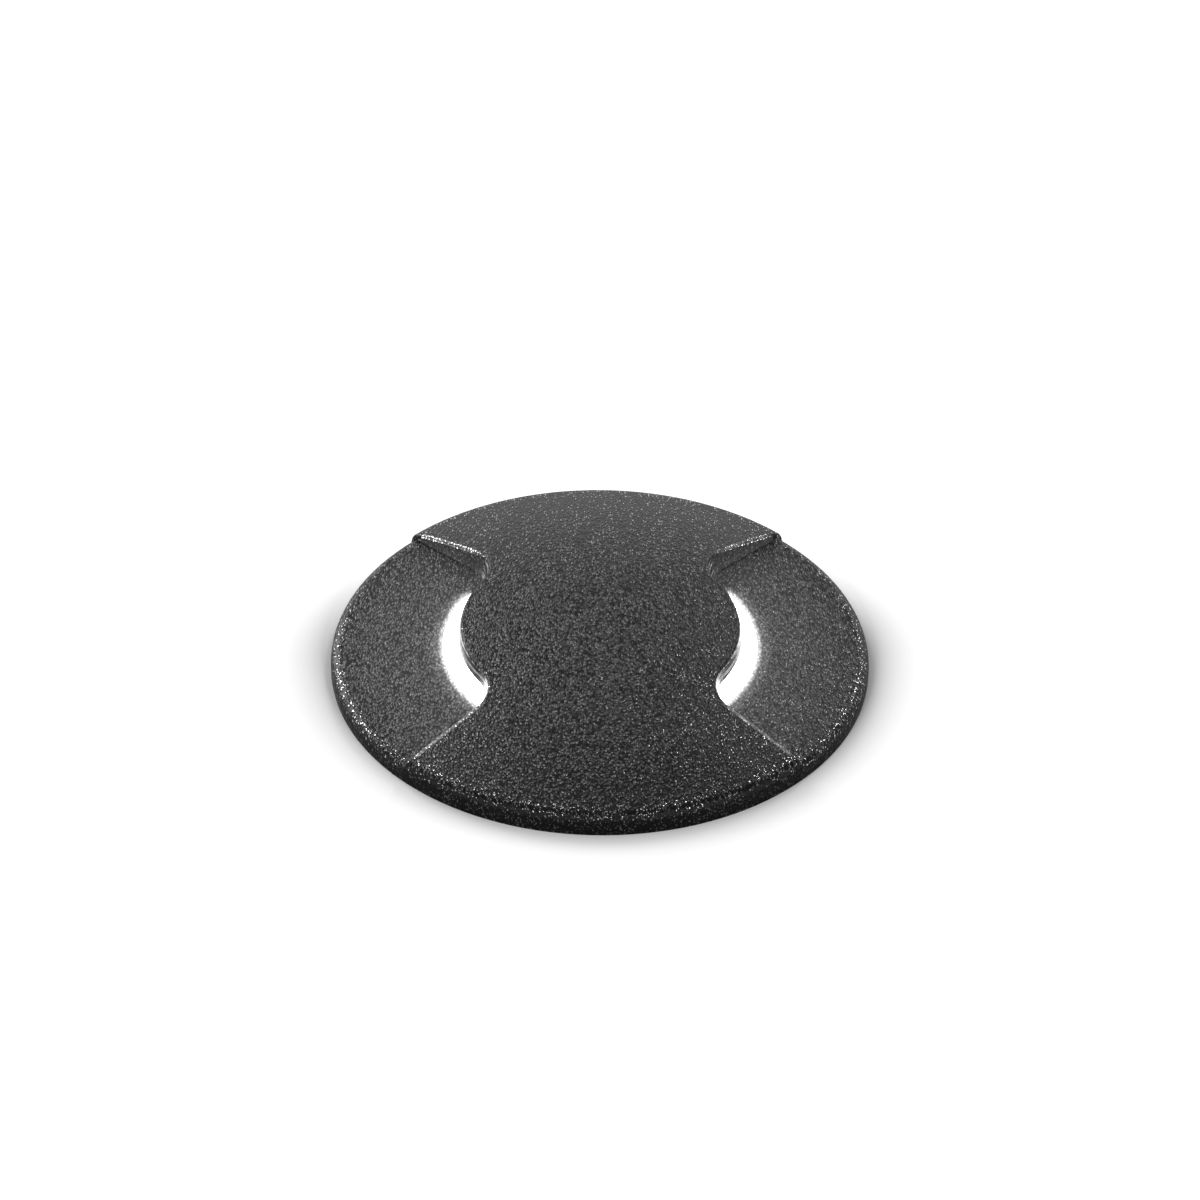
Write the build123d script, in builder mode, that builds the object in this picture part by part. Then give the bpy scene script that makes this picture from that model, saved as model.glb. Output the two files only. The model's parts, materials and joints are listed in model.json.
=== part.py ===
from build123d import *
from math import cos, radians, sin, sqrt, tan
import os

os.makedirs("parts", exist_ok=True)

# All sizes in millimetres. Ground level is z = 0, the middle of the cover is x = y = 0.

# Clearances
slide_gap = 0.3  # between pieces that turn or slide past each other
fixed_gap = 0.1  # between pieces that are fixed together
screw_gap = 0.05  # round a screw or a wire in its hole

# Lamp, a flat 53 mm bayonet lamp
lamp_radius = 37.3
lamp_disc_height = 16.0
lamp_hub_radius = 22.0
lamp_hub_height = 11.0
lamp_wall = 1.5
lamp_drop = 2.8  # lamp front below the top of the neck
lamp_crown = 1.2  # rise of the lamp's own diffuser in the middle
lamp_front_wall = 1.6
lamp_front_edge = 0.8  # its thickness over the shell's rim
lamp_front_margin = 0.3
flute_count = 24  # finger grooves round the shell
flute_radius = 1.0
flute_height = 9.0
pin_spacing = 53.0
pin_radius = 1.6
pin_head_radius = 2.5
pin_head_height = 3.4
pin_length = 7.0
pin_rivet_height = 0.8
pin_tip_chamfer = 0.6
twist_angle = 13.0  # from locked to free
heat_plate_thickness = 1.4
heat_plate_depth = 5.2  # its top below the lamp front
ledge_width = 1.8  # steps in the lamp shell that carry the plate and the driver board
led_board_thickness = 1.0
led_board_margin = 2.1
led_length = 3.5
led_width = 2.8
led_height = 0.7
led_outer_ring = 27.0
led_outer_count = 16
led_inner_ring = 15.0
led_inner_count = 8
driver_board_thickness = 1.4
driver_board_height = 3.0  # board above the hub's floor
capacitor_radius = 4.0
capacitor_height = 11.0
choke_radius = 3.6
choke_height = 7.5
transformer_size = (10.0, 9.0, 9.0)
rectifier_size = (6.5, 5.0, 2.6)
capacitor_place = (-9.0, 6.5)
choke_place = (8.0, 9.0)
transformer_place = (5.0, -7.5)
rectifier_place = (-9.0, -7.0)

# Lampholder
hub_gap = 0.6  # round the lamp's hub
holder_margin = 0.3  # holder edge inside the lamp's edge
holder_cap_thickness = 3.0
holder_base_thickness = 11.0
holder_edge_round = 1.0
chamber_depth = 6.0
chamber_overrun = 8.0  # degrees past the pin at each end of its travel
contact_thickness = 0.6
contact_width = 3.6
contact_leaf_height = 4.2
contact_tail_length = 3.6  # below the holder
contact_tail_offset = 3.0
holder_screw_margin = 6.0  # screw to the holder's edge
holder_screw_radius = 1.6
holder_screw_length = 22.0
holder_pilot_depth = 12.0
holder_head_radius = 3.2
holder_head_height = 1.8
holder_head_sink = 0.2

# Housing
housing_room = 3.4  # round the lamp
housing_wall = 2.8
housing_floor = 3.0
housing_bottom_round = 3.0
wiring_height = 18.7  # under the lampholder
neck_step = 1.3
collar_width = 3.4  # beyond the neck
collar_thickness = 3.0
collar_gap = 0.4  # under the cover's skirt
post_radius = 4.0
gusset_width = 2.4
gusset_height = 4.0
neck_groove_width = 2.2
neck_groove_depth = 1.7
neck_seal_round = 0.7
grip_groove_depth = 1.2
grip_groove_height = 4.0
grip_groove_drop = 6.0  # below the collar
grip_lip_count = 2
grip_tip_rise = 0.6  # lip's tip above its foot
grip_tip_width = 0.4
grip_band_stand = 0.6  # of the band beyond the housing
pad_height = 2.0

# Terminal block
terminal_gap = 2.3  # from the gland's locknut
terminal_length = 20.0
terminal_width = 16.0
terminal_height = 10.5
terminal_round = 1.0
terminal_pole_spacing = 10.0
terminal_screw_spacing = 8.0
terminal_port_radius = 1.6
terminal_port_drop = 6.5  # below the block's top
terminal_well_radius = 2.0
terminal_screw_radius = 1.7
terminal_screw_height = 3.8
terminal_screw_sink = 1.0
terminal_slot_depth = 0.8
terminal_waist_depth = 4.0
block_screw_radius = 1.4
block_screw_head_radius = 2.4
block_screw_head_height = 1.6
block_screw_bite = 1.2  # into the housing floor

# Screw heads
screw_slot_width = 0.6
slot_depth_share = 0.5
head_round_share = 0.6

# Wires
wire_radius = 1.1
wire_bend = 2.5
wire_strip = 4.0  # run inside the terminal's port
wire_stand_off = 6.0  # run out of the port before it turns up
wire_clearance = 0.5
neutral_wire_run = 19.0  # beside the gland

# Cable gland
gland_thread_radius = 7.9
gland_thread_rise = 7.0  # above the housing floor
gland_hex_width = 20.0  # across flats
gland_hex_height = 5.0
gland_washer_radius = 11.0
gland_washer_thickness = 1.2
gland_stem_length = 8.0
gland_bore_radius = 5.6
gland_locknut_width = 22.0
gland_locknut_height = 4.0
gland_seal_length = 7.0
gland_seal_flange = 1.0
gland_nut_lip = 2.0
gland_nut_round = 1.6
gland_mouth_gap = 1.0  # round the cable at the nut's mouth
cable_radius = 3.75
cable_gap = 0.15

# Diffuser under the cover
diffuser_wall = 2.2
diffuser_flange_thickness = 2.5
diffuser_flange_margin = 0.3  # flange edge inside the neck's edge

# Cover
dome_height = 12.5
dome_rim_height = 4.8
rim_round = 2.4
rim_foot_round = 0.4
lip_width = 5.0  # outer lip that stands on the ground
pocket_half_angle = 45.0  # at the level of the window's top
pocket_draft = 14.0  # lean of the pocket's walls in degrees
pocket_corner_round = 9.0
pocket_edge_round = 0.6
pocket_rim_drop = 1.1  # pocket floor below the dome at the rim
pocket_fall = 1.2  # fall of the pocket floor from window to rim
window_radius = 35.0
window_reach = 3.3  # window outer edge to the dome's edge, seen from above
window_height = 2.6
shoulder_height = 1.6
skirt_wall = 2.3
skirt_depth = 11.0
thread_gap = 1.1  # between neck and skirt, where the threads run
core_skin = 3.0  # cover thickness left over the coring
core_count = 4  # cored cells on each side
core_arc = 17.0
core_pitch = 21.0
core_web = 2.5  # beside the window
core_edge = 1.5  # beside the skirt
cover_seal_thickness = 0.6
cover_seal_margin = 0.3

# Recess box
box_gap = 0.8  # round the skirt
box_wall = 2.5
box_depth = 90.0
box_floor = 2.5
box_flange_width = 3.0
box_flange_thickness = 1.4
box_flange_gap = 0.5  # inside the cover's lip
rib_count = 6
rib_root = 1.2  # of a rib or key in the wall
rib_depth = 3.0
rib_width = 3.2
key_count = 3  # ribs that run on through the collar
key_depth = 2.2
key_height = 2.2
cable_opening_radius = 18.0
drain_count = 6
drain_radius = 3.5
drain_distance = 34.0
knock_out_radius = 10.25
knock_out_web = 0.8
knock_out_height = 20.0  # its middle above the box's bottom
score_width = 0.8  # groove round a knock-out
score_depth = 0.4
anchor_count = 3  # grooves round the box that hold it in concrete
anchor_width = 4.0
anchor_depth = 0.8
anchor_pitch = 14.0
anchor_top = 12.0  # first groove's middle below the ground

# Radii that follow from the pieces inside
housing_bore = lamp_radius + housing_room
housing_radius = housing_bore + housing_wall
neck_radius = housing_radius + neck_step
collar_radius = neck_radius + collar_width
skirt_bore = neck_radius + thread_gap
skirt_radius = skirt_bore + skirt_wall
box_bore = skirt_radius + box_gap
box_radius = box_bore + box_wall
box_flange_radius = box_radius + box_flange_width
lip_bore = box_flange_radius + box_flange_gap
cover_radius = lip_bore + lip_width
dome_edge_radius = window_radius - window_reach
holder_radius = lamp_radius - holder_margin
holder_hole_radius = lamp_hub_radius + hub_gap
chamber_width = 2 * (pin_head_radius + slide_gap)
pin_distance = pin_spacing / 2
terminal_distance = gland_locknut_width / sqrt(3) + terminal_gap + terminal_length / 2
post_distance = holder_radius - holder_screw_margin

# Levels that follow from the pieces inside
pocket_rim_height = dome_rim_height - pocket_rim_drop
sill_height = pocket_rim_height + pocket_fall
window_top = sill_height + window_height
seal_seat = box_flange_thickness + cover_seal_thickness
flange_top = shoulder_height - slide_gap
neck_top = flange_top - diffuser_flange_thickness
collar_top = -skirt_depth - collar_gap
collar_bottom = collar_top - collar_thickness
lamp_front = neck_top - lamp_drop
lamp_back = lamp_front - lamp_disc_height
hub_bottom = lamp_back - lamp_hub_height
holder_top = lamp_back - slide_gap
holder_seam = holder_top - holder_cap_thickness
holder_bottom = holder_seam - holder_base_thickness
floor_top = holder_bottom - wiring_height
floor_bottom = floor_top - housing_floor
chamber_bottom = holder_seam - chamber_depth
terminal_bottom = floor_top + pad_height
terminal_top = terminal_bottom + terminal_height
port_level = terminal_top - terminal_port_drop
hex_top = floor_bottom - gland_washer_thickness
hex_bottom = hex_top - gland_hex_height
stem_bottom = hex_bottom - gland_stem_length
nut_top = hex_bottom - slide_gap
box_bottom = -box_depth


def upright(angle):
    """The plane through the vertical axis that stands at this angle from +X."""
    turn = radians(angle)
    return Plane((0, 0, 0), x_dir=(cos(turn), sin(turn), 0), z_dir=(sin(turn), -cos(turn), 0))


def save(piece, name):
    """Label a piece and write its file."""
    piece.part.label = name
    export_step(piece.part, f"parts/{name}.step")


# Cover: a shallow dome with a light pocket cut into each side
dome_rise = dome_height - dome_rim_height
crown_radius = (cover_radius**2 + dome_rise**2) / (2 * dome_rise)
pocket_lean = (window_top - shoulder_height) * tan(radians(pocket_draft))


def dome_level(radius):
    """Height of the dome's surface at this radius."""
    return dome_height - crown_radius + sqrt(crown_radius**2 - radius**2)


def on_dome(edge):
    """True for a pocket's upper edges, which stay clear of the shoulder."""
    return edge.bounding_box().min.Z > shoulder_height + rim_foot_round


with BuildPart() as cover:
    with BuildSketch(Plane.XZ):
        with BuildLine():
            crown = TangentArc((0, dome_height), (cover_radius, dome_rim_height), tangent=(1, 0))
            Polyline(crown @ 1, (cover_radius, shoulder_height), (0, shoulder_height), crown @ 0)
        make_face()
        fillet(vertices().group_by(Axis.X)[-1].sort_by(Axis.Y)[-1], rim_round)
    revolve(axis=Axis.Z)
    with BuildSketch(Plane.XY.offset(shoulder_height)):
        with BuildLine():
            back = CenterArc((0, 0), dome_edge_radius, -pocket_half_angle, 2 * pocket_half_angle)
            mouth = CenterArc((0, 0), cover_radius + lip_width, -pocket_half_angle, 2 * pocket_half_angle)
            Line(back @ 0, mouth @ 0)
            Line(back @ 1, mouth @ 1)
        make_face()
        fillet(vertices().group_by(Axis.X)[0], pocket_corner_round)
        offset(amount=-pocket_lean, mode=Mode.REPLACE)
        mirror(about=Plane.YZ)
    extrude(amount=dome_height - shoulder_height, taper=-pocket_draft, mode=Mode.SUBTRACT)
    fillet(edges(Select.LAST).filter_by(on_dome), pocket_edge_round)
    with BuildSketch(Plane.XZ):
        with BuildLine():
            Polyline(
                (window_radius, shoulder_height),
                (window_radius, sill_height),
                (cover_radius, pocket_rim_height),
                (cover_radius, 0),
                (lip_bore, 0),
                (lip_bore, seal_seat),
                (skirt_radius, seal_seat),
                (skirt_radius, -skirt_depth),
                (skirt_bore, -skirt_depth),
                (skirt_bore, shoulder_height),
                close=True,
            )
        make_face()
        rim = vertices().group_by(Axis.X)[-1].sort_by(Axis.Y)
        fillet(rim[-1], rim_round)
        fillet(rim[0], rim_foot_round)
    revolve(axis=Axis.Z)
    with BuildSketch(Plane.XZ):
        with BuildLine():
            Polyline(
                (0, window_top),
                (dome_edge_radius, window_top),
                (window_radius, sill_height),
                (window_radius, shoulder_height),
                (skirt_bore, shoulder_height),
                (skirt_bore, -skirt_depth),
                (0, -skirt_depth),
                close=True,
            )
        make_face()
    revolve(axis=Axis.Z, mode=Mode.SUBTRACT)
    with BuildSketch():
        Circle(lip_bore)
        Circle(skirt_radius, mode=Mode.SUBTRACT)
    extrude(amount=seal_seat, mode=Mode.SUBTRACT)
    core_inner = window_radius + core_web
    core_outer = skirt_bore - core_edge
    for side in (90, 270):
        for cell in range(core_count):
            middle = side + (cell - (core_count - 1) / 2) * core_pitch
            with BuildSketch(upright(middle - core_arc / 2)):
                with BuildLine():
                    Polyline(
                        (core_inner, shoulder_height),
                        (core_inner, dome_level(core_inner) - core_skin),
                        (core_outer, dome_level(core_outer) - core_skin),
                        (core_outer, shoulder_height),
                        close=True,
                    )
                make_face()
            revolve(axis=Axis.Z, revolution_arc=core_arc, mode=Mode.SUBTRACT)
save(cover, "cover")

# Cover seal: a flat ring between the cover and the recess box
with BuildPart() as cover_seal:
    with BuildSketch(Plane.XY.offset(box_flange_thickness)):
        Circle(box_flange_radius - cover_seal_margin)
        Circle(box_bore + cover_seal_margin, mode=Mode.SUBTRACT)
    extrude(amount=cover_seal_thickness)
save(cover_seal, "cover_seal")

# Diffuser: an opal cap on the neck, whose slope shows in the two windows
with BuildPart() as diffuser:
    cap_radius = window_radius - slide_gap
    cap_top = window_top - slide_gap
    with BuildSketch(Plane.XZ):
        with BuildLine():
            Polyline(
                (0, cap_top),
                (dome_edge_radius - slide_gap, cap_top),
                (cap_radius, sill_height - slide_gap),
                (cap_radius, flange_top),
                (neck_radius - diffuser_flange_margin, flange_top),
                (neck_radius - diffuser_flange_margin, neck_top),
                (cap_radius - diffuser_wall, neck_top),
                (cap_radius - diffuser_wall, sill_height - diffuser_wall),
                (dome_edge_radius - diffuser_wall, cap_top - diffuser_wall),
                (0, cap_top - diffuser_wall),
                close=True,
            )
        make_face()
    revolve(axis=Axis.Z)
save(diffuser, "diffuser")

# Recess box: the sleeve that is set in the ground
with BuildPart() as knock_out_tool:
    with Locations((0, 0, box_bottom + knock_out_height)):
        Cylinder(box_radius - knock_out_web, 2 * knock_out_radius)
    with BuildSketch(Plane.YZ):
        with Locations((0, box_bottom + knock_out_height)):
            Circle(knock_out_radius)
    extrude(amount=box_radius, both=True, mode=Mode.INTERSECT)

with BuildPart() as score_tool:
    with Locations((0, 0, box_bottom + knock_out_height)):
        Cylinder(box_flange_radius, 4 * knock_out_radius)
        Cylinder(box_radius - score_depth, 4 * knock_out_radius, mode=Mode.SUBTRACT)
    with BuildSketch(Plane.YZ):
        with Locations((0, box_bottom + knock_out_height)):
            Circle(knock_out_radius + score_width)
            Circle(knock_out_radius, mode=Mode.SUBTRACT)
    extrude(amount=box_flange_radius, both=True, mode=Mode.INTERSECT)

with BuildPart() as recess_box:
    box_floor_top = box_bottom + box_floor
    with BuildSketch(Plane.XZ):
        with BuildLine():
            Polyline(
                (cable_opening_radius, box_bottom),
                (box_radius, box_bottom),
                (box_radius, 0),
                (box_flange_radius, 0),
                (box_flange_radius, box_flange_thickness),
                (box_bore, box_flange_thickness),
                (box_bore, box_floor_top),
                (cable_opening_radius, box_floor_top),
                close=True,
            )
        make_face()
    revolve(axis=Axis.Z)
    with BuildSketch(Plane.XY.offset(box_floor_top)):
        with PolarLocations(box_bore + (rib_root - rib_depth) / 2, rib_count, start_angle=180 / rib_count):
            Rectangle(rib_depth + rib_root, rib_width)
    extrude(amount=collar_bottom - box_floor_top)
    with BuildSketch(Plane.XY.offset(collar_bottom)):
        with PolarLocations(box_bore + (rib_root - key_depth) / 2, key_count, start_angle=180 / rib_count):
            Rectangle(key_depth + rib_root, rib_width)
    extrude(amount=key_height)
    with Locations((0, 0, box_floor_top)):
        with PolarLocations(drain_distance, drain_count):
            Hole(drain_radius)
    add(knock_out_tool.part, mode=Mode.SUBTRACT)
    add(score_tool.part, mode=Mode.SUBTRACT)
    with BuildSketch(Plane.XZ):
        for groove in range(anchor_count):
            with Locations((box_radius, -anchor_top - groove * anchor_pitch)):
                Rectangle(2 * anchor_depth, anchor_width)
    revolve(axis=Axis.Z, mode=Mode.SUBTRACT)
save(recess_box, "recess_box")

# Housing: the watertight cup that hangs in the recess box
with BuildPart() as housing:
    with BuildSketch(Plane.XZ):
        with BuildLine():
            Polyline(
                (gland_thread_radius + fixed_gap, floor_bottom),
                (housing_radius, floor_bottom),
                (housing_radius, collar_bottom),
                (collar_radius, collar_bottom),
                (collar_radius, collar_top),
                (neck_radius, collar_top),
                (neck_radius, neck_top),
                (housing_bore, neck_top),
                (housing_bore, floor_top),
                (gland_thread_radius + fixed_gap, floor_top),
                close=True,
            )
        make_face()
        fillet(vertices().group_by(Axis.Y)[0].sort_by(Axis.X)[-1], housing_bottom_round)
    revolve(axis=Axis.Z)
    neck_groove_middle = (housing_bore + neck_radius) / 2
    with BuildSketch(Plane.XY.offset(neck_top)):
        Circle(neck_groove_middle + neck_groove_width / 2)
        Circle(neck_groove_middle - neck_groove_width / 2, mode=Mode.SUBTRACT)
    extrude(amount=-neck_groove_depth, mode=Mode.SUBTRACT)
    grip_groove_top = collar_bottom - grip_groove_drop
    with BuildSketch(Plane.XY.offset(grip_groove_top)):
        Circle(collar_radius)
        Circle(housing_radius - grip_groove_depth, mode=Mode.SUBTRACT)
    extrude(amount=-grip_groove_height, mode=Mode.SUBTRACT)
    notch_inner = box_bore - key_depth - slide_gap
    with BuildSketch(Plane.XY.offset(collar_bottom)):
        with PolarLocations((notch_inner + box_bore) / 2, key_count, start_angle=180 / rib_count):
            Rectangle(box_bore - notch_inner, rib_width + 2 * slide_gap)
    extrude(amount=collar_thickness, mode=Mode.SUBTRACT)
    with BuildSketch(Plane.XY.offset(floor_top)):
        with Locations((0, post_distance), (0, -post_distance)):
            Circle(post_radius)
    extrude(amount=wiring_height)
    gusset_length = housing_bore - post_distance + housing_wall / 2
    with BuildSketch(Plane.XY.offset(floor_top)):
        for side in (1, -1):
            with Locations((0, side * (post_distance + gusset_length / 2))):
                Rectangle(gusset_width, gusset_length)
    extrude(amount=gusset_height)
    with BuildSketch(Plane.XY.offset(floor_top)):
        with Locations((terminal_distance, 0)):
            Rectangle(terminal_length - 2 * terminal_round, terminal_width - 2 * terminal_round)
    extrude(amount=pad_height)
    with Locations((0, post_distance, holder_bottom), (0, -post_distance, holder_bottom)):
        Hole(holder_screw_radius + screw_gap, depth=holder_pilot_depth)
    with Locations((terminal_distance, 0, terminal_bottom)):
        Hole(block_screw_radius + screw_gap, depth=pad_height + block_screw_bite)
save(housing, "housing")

# Neck seal: the ring that the diffuser is pressed on
with BuildPart() as neck_seal:
    with BuildSketch(Plane.XZ):
        with Locations((neck_groove_middle, neck_top - neck_groove_depth / 2)):
            RectangleRounded(neck_groove_width - 2 * fixed_gap, neck_groove_depth, neck_seal_round)
    revolve(axis=Axis.Z)
save(neck_seal, "neck_seal")

# Grip ring: a lipped rubber band that steadies the housing between the box's ribs
with BuildPart() as grip_ring:
    band_inner = housing_radius - grip_groove_depth + fixed_gap
    band_outer = housing_radius + grip_band_stand
    band_bottom = grip_groove_top - grip_groove_height + fixed_gap
    band_height = grip_groove_height - 2 * fixed_gap
    lip_radius = box_bore - rib_depth - slide_gap
    lip_height = band_height / grip_lip_count
    with BuildSketch(Plane.XZ):
        with Locations((band_inner, band_bottom)):
            Rectangle(band_outer - band_inner, band_height, align=Align.MIN)
        for lip in range(grip_lip_count):
            foot = band_bottom + lip * lip_height
            with BuildLine():
                Polyline(
                    (band_outer, foot),
                    (lip_radius, foot + grip_tip_rise),
                    (lip_radius, foot + grip_tip_rise + grip_tip_width),
                    (band_outer, foot + lip_height),
                    close=True,
                )
            make_face()
    revolve(axis=Axis.Z)
save(grip_ring, "grip_ring")


def pan_screw(radius, length, head_radius, head_height):
    """A slotted pan-head screw whose head stands on z = 0."""
    with BuildPart() as screw:
        with BuildSketch(Plane.XZ):
            with BuildLine():
                Polyline(
                    (0, head_height),
                    (head_radius, head_height),
                    (head_radius, 0),
                    (radius, 0),
                    (radius, radius - length),
                    (0, -length),
                    close=True,
                )
            make_face()
            fillet(vertices().group_by(Axis.Y)[-1].sort_by(Axis.X)[-1], head_height * head_round_share)
        revolve(axis=Axis.Z)
        with BuildSketch(Plane.XY.offset(head_height)):
            Rectangle(2 * head_radius, screw_slot_width)
        extrude(amount=-head_height * slot_depth_share, mode=Mode.SUBTRACT)
    return screw.part


# Lampholder: a ring in two halves, with the contacts in chambers between them
screw_places = ((0, post_distance), (0, -post_distance))

with BuildPart() as lampholder_cap:
    with BuildSketch(Plane.XY.offset(holder_seam)):
        Circle(holder_radius)
        Circle(holder_hole_radius, mode=Mode.SUBTRACT)
        with PolarLocations(0, 2):
            pin_path = CenterArc((0, 0), pin_distance, 0, twist_angle, mode=Mode.PRIVATE)
            SlotArc(pin_path, 2 * (pin_radius + slide_gap), mode=Mode.SUBTRACT)
        with PolarLocations(pin_distance, 2, start_angle=twist_angle):
            Circle(pin_head_radius + slide_gap, mode=Mode.SUBTRACT)
    extrude(amount=holder_cap_thickness)
    rims = edges().filter_by(GeomType.CIRCLE).group_by(Axis.Z)
    fillet(rims[-1].sort_by(SortBy.RADIUS)[-1], holder_edge_round)
    with Locations(Plane.XY.offset(holder_top)):
        with Locations(*screw_places):
            CounterBoreHole(
                holder_screw_radius + screw_gap,
                holder_head_radius + fixed_gap,
                holder_head_height + holder_head_sink,
            )
save(lampholder_cap, "lampholder_cap")

with BuildPart() as lampholder_base:
    with BuildSketch(Plane.XY.offset(holder_bottom)):
        Circle(holder_radius)
        Circle(holder_hole_radius, mode=Mode.SUBTRACT)
        with Locations(*screw_places):
            Circle(holder_screw_radius + screw_gap, mode=Mode.SUBTRACT)
    extrude(amount=holder_base_thickness)
    rims = edges().filter_by(GeomType.CIRCLE).group_by(Axis.Z)
    fillet(rims[0].sort_by(SortBy.RADIUS)[-1], holder_edge_round)
    with BuildSketch(Plane.XY.offset(chamber_bottom)):
        with PolarLocations(0, 2):
            chamber_path = CenterArc(
                (0, 0), pin_distance, -chamber_overrun, twist_angle + 2 * chamber_overrun, mode=Mode.PRIVATE
            )
            SlotArc(chamber_path, chamber_width)
    extrude(amount=chamber_depth, mode=Mode.SUBTRACT)
    with BuildSketch(Plane.XY.offset(holder_bottom)):
        with PolarLocations(pin_distance, 2):
            with Locations((0, contact_tail_offset)):
                Rectangle(contact_width + 2 * fixed_gap, contact_thickness + 2 * slide_gap)
    extrude(amount=holder_base_thickness - chamber_depth, mode=Mode.SUBTRACT)
save(lampholder_base, "lampholder_base")

# Lampholder contacts: bent strips beside the locked pins
contact_floor = chamber_bottom + contact_thickness / 2
leaf_offset = -pin_head_radius - slide_gap - contact_thickness / 2

with BuildPart() as contact:
    with BuildSketch(Plane.YZ.offset(pin_distance - contact_width / 2)):
        with BuildLine():
            FilletPolyline(
                (leaf_offset, contact_floor + contact_leaf_height),
                (leaf_offset, contact_floor),
                (contact_tail_offset, contact_floor),
                (contact_tail_offset, holder_bottom - contact_tail_length),
                radius=contact_thickness,
            )
        trace(line_width=contact_thickness)
    extrude(amount=contact_width)

with BuildPart() as lampholder_contacts:
    with PolarLocations(0, 2):
        add(contact.part)
save(lampholder_contacts, "lampholder_contacts")

with BuildPart() as lampholder_screws:
    holder_screw = pan_screw(
        holder_screw_radius, holder_screw_length, holder_head_radius, holder_head_height
    )
    with Locations(Plane.XY.offset(holder_top - holder_head_sink - holder_head_height)):
        with Locations(*screw_places):
            add(holder_screw)
save(lampholder_screws, "lampholder_screws")

# Terminal block: two poles with a waist between them for the fixing screw
with BuildPart() as terminal_block:
    with BuildSketch(Plane.XY.offset(terminal_bottom)):
        with Locations((terminal_distance, 0)):
            RectangleRounded(terminal_length, terminal_width, terminal_round)
    extrude(amount=terminal_height)
    with BuildSketch(Plane.XY.offset(terminal_top)):
        with Locations((terminal_distance, 0)):
            Rectangle(2 * (block_screw_head_radius + slide_gap), terminal_width)
    extrude(amount=-terminal_waist_depth, mode=Mode.SUBTRACT)
    with Locations((terminal_distance, 0, terminal_top)):
        with GridLocations(terminal_pole_spacing, terminal_screw_spacing, 2, 2):
            Hole(terminal_well_radius, depth=terminal_port_drop)
        Hole(block_screw_radius + screw_gap)
    with BuildSketch(Plane.XZ):
        with Locations((terminal_distance, port_level)):
            with GridLocations(terminal_pole_spacing, 0, 2, 1):
                Circle(terminal_port_radius)
    extrude(amount=terminal_width, both=True, mode=Mode.SUBTRACT)
save(terminal_block, "terminal_block")

with BuildPart() as terminal_screws:
    hanging = (Align.CENTER, Align.CENTER, Align.MAX)
    with Locations((terminal_distance, 0, terminal_top - terminal_screw_sink)):
        with GridLocations(terminal_pole_spacing, terminal_screw_spacing, 2, 2):
            Cylinder(terminal_screw_radius, terminal_screw_height, align=hanging)
            Box(2 * terminal_screw_radius, screw_slot_width, 2 * terminal_slot_depth, mode=Mode.SUBTRACT)
save(terminal_screws, "terminal_screws")

with BuildPart() as terminal_block_screw:
    block_screw_seat = terminal_top - terminal_waist_depth
    block_screw_length = block_screw_seat - floor_top + block_screw_bite - slide_gap
    block_screw = pan_screw(
        block_screw_radius, block_screw_length, block_screw_head_radius, block_screw_head_height
    )
    with Locations((terminal_distance, 0, block_screw_seat)):
        add(block_screw)
save(terminal_block_screw, "terminal_block_screw")

# Wires from the terminal block to the lampholder contacts
live_pole = terminal_distance + terminal_pole_spacing / 2
neutral_pole = terminal_distance - terminal_pole_spacing / 2
port_end = terminal_width / 2
bridge_level = terminal_top + wire_radius + wire_clearance
wire_end_level = holder_bottom - wire_clearance
tail_side = contact_thickness / 2 + screw_gap + wire_radius


def wire(points):
    """A round insulated wire along straight runs with tangent bends."""
    with BuildPart() as piece:
        with BuildLine() as route:
            FilletPolyline(*points, radius=wire_bend)
        with BuildSketch(Plane(route.line @ 0, z_dir=route.line % 0)):
            Circle(wire_radius)
        sweep()
    return piece


live_wire = wire(
    [
        (live_pole, port_end - wire_strip, port_level),
        (live_pole, port_end + wire_stand_off, port_level),
        (live_pole, port_end + wire_stand_off, bridge_level),
        (pin_distance, contact_tail_offset + tail_side, bridge_level),
        (pin_distance, contact_tail_offset + tail_side, wire_end_level),
    ]
)
save(live_wire, "live_wire")

neutral_wire = wire(
    [
        (neutral_pole, port_end - wire_strip, port_level),
        (neutral_pole, neutral_wire_run, port_level),
        (-pin_distance, neutral_wire_run, port_level),
        (-pin_distance, neutral_wire_run, bridge_level),
        (-pin_distance, tail_side - contact_tail_offset, bridge_level),
        (-pin_distance, tail_side - contact_tail_offset, wire_end_level),
    ]
)
save(neutral_wire, "neutral_wire")

# Cable gland in the housing floor
with BuildPart() as gland_body:
    with BuildSketch(Plane.XY.offset(stem_bottom)):
        Circle(gland_thread_radius)
    extrude(amount=floor_top + gland_thread_rise - stem_bottom)
    with BuildSketch(Plane.XY.offset(hex_bottom)):
        RegularPolygon(gland_hex_width / 2, 6, major_radius=False)
    extrude(amount=gland_hex_height)
    with Locations((0, 0, floor_top + gland_thread_rise)):
        Hole(gland_bore_radius)
save(gland_body, "gland_body")

with BuildPart() as gland_washer:
    with BuildSketch(Plane.XY.offset(hex_top)):
        Circle(gland_washer_radius)
        Circle(gland_thread_radius + fixed_gap, mode=Mode.SUBTRACT)
    extrude(amount=gland_washer_thickness)
save(gland_washer, "gland_washer")

with BuildPart() as gland_locknut:
    with BuildSketch(Plane.XY.offset(floor_top)):
        RegularPolygon(gland_locknut_width / 2, 6, major_radius=False)
        Circle(gland_thread_radius + fixed_gap, mode=Mode.SUBTRACT)
    extrude(amount=gland_locknut_height)
save(gland_locknut, "gland_locknut")

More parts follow.
